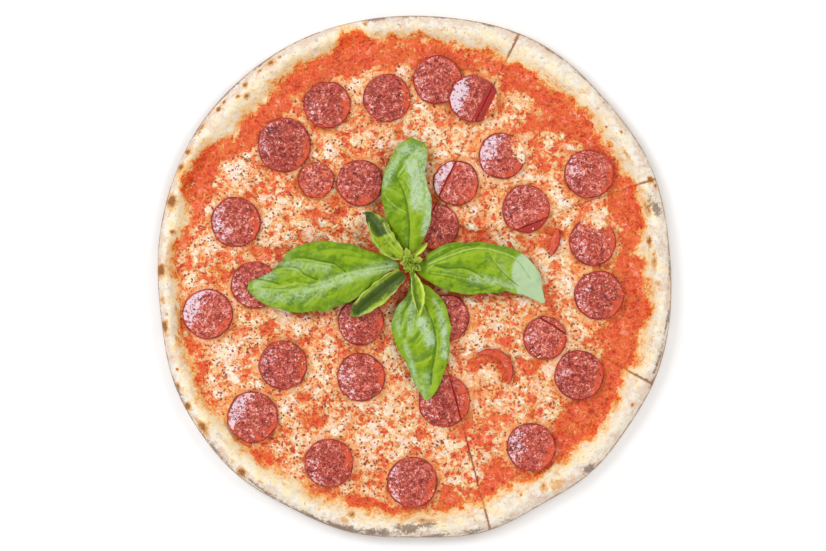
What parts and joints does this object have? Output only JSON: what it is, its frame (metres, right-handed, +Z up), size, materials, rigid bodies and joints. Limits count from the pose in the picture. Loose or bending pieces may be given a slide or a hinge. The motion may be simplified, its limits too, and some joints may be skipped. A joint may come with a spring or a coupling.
{
  "type": "pepperoni pizza",
  "caption": "Round pizza with a puffed rim, tomato sauce, melted cheese, pepperoni rounds and a sprig of basil leaves on top, cut into slices on one side only",
  "frame": {"origin": "middle of the outline, on the flat underside", "axes": "+Z up out of the toppings, +X towards the cut side, +Y along the top basil leaf"},
  "size_m": [0.2988, 0.3035, 0.0245],
  "materials": {
    "crust_baked": "dry baked dough, floury",
    "tomato_sauce": "wet and pulpy",
    "melted_cheese": "soft gloss, oily",
    "pepperoni_meat": "oily, speckled with fat",
    "basil_green": "smooth waxy leaf",
    "basil_dark": "smooth waxy leaf",
    "basil_light": "young waxy leaf"
  },
  "bodies": {
    "root": {"dough_uncut_rest": "crust_baked", "dough_slice_lower": "crust_baked", "dough_slice_right": "crust_baked", "dough_slice_upper": "crust_baked", "sauce_uncut_rest": "tomato_sauce", "sauce_slice_lower": "tomato_sauce", "sauce_slice_right": "tomato_sauce", "sauce_slice_upper": "tomato_sauce", "cheese_uncut_rest": "melted_cheese", "cheese_slice_lower": "melted_cheese", "cheese_slice_right": "melted_cheese", "cheese_slice_upper": "melted_cheese", "pepperoni_01": "pepperoni_meat", "pepperoni_02": "pepperoni_meat", "pepperoni_03": "pepperoni_meat", "pepperoni_04": "pepperoni_meat", "pepperoni_05_left": "pepperoni_meat", "pepperoni_05_right": "pepperoni_meat", "pepperoni_06": "pepperoni_meat", "pepperoni_07": "pepperoni_meat", "pepperoni_08_left": "pepperoni_meat", "pepperoni_08_right": "pepperoni_meat", "pepperoni_09": "pepperoni_meat", "pepperoni_10": "pepperoni_meat", "pepperoni_11": "pepperoni_meat", "pepperoni_12_left": "pepperoni_meat", "pepperoni_12_right": "pepperoni_meat", "pepperoni_13": "pepperoni_meat", "pepperoni_14": "pepperoni_meat", "pepperoni_15": "pepperoni_meat", "pepperoni_16": "pepperoni_meat", "pepperoni_17": "pepperoni_meat", "pepperoni_18_left": "pepperoni_meat", "pepperoni_18_right": "pepperoni_meat", "pepperoni_19": "pepperoni_meat", "pepperoni_20": "pepperoni_meat", "pepperoni_21": "pepperoni_meat", "pepperoni_22": "pepperoni_meat", "pepperoni_23": "pepperoni_meat", "pepperoni_24": "pepperoni_meat", "pepperoni_25_left": "pepperoni_meat", "pepperoni_25_right": "pepperoni_meat", "pepperoni_26": "pepperoni_meat", "pepperoni_27": "pepperoni_meat", "pepperoni_28": "pepperoni_meat", "pepperoni_29_left": "pepperoni_meat", "pepperoni_29_right": "pepperoni_meat", "pepperoni_30_left": "pepperoni_meat", "pepperoni_30_right": "pepperoni_meat", "pepperoni_31": "pepperoni_meat", "basil_leaf_top": "basil_green", "basil_leaf_left": "basil_green", "basil_leaf_right": "basil_green", "basil_leaf_bottom": "basil_green", "basil_small_top_left": "basil_dark", "basil_small_bottom_left": "basil_dark", "basil_small_bottom": "basil_light", "basil_tiny_top_right": "basil_light", "basil_bud": "basil_light"}
  },
  "joints": []
}
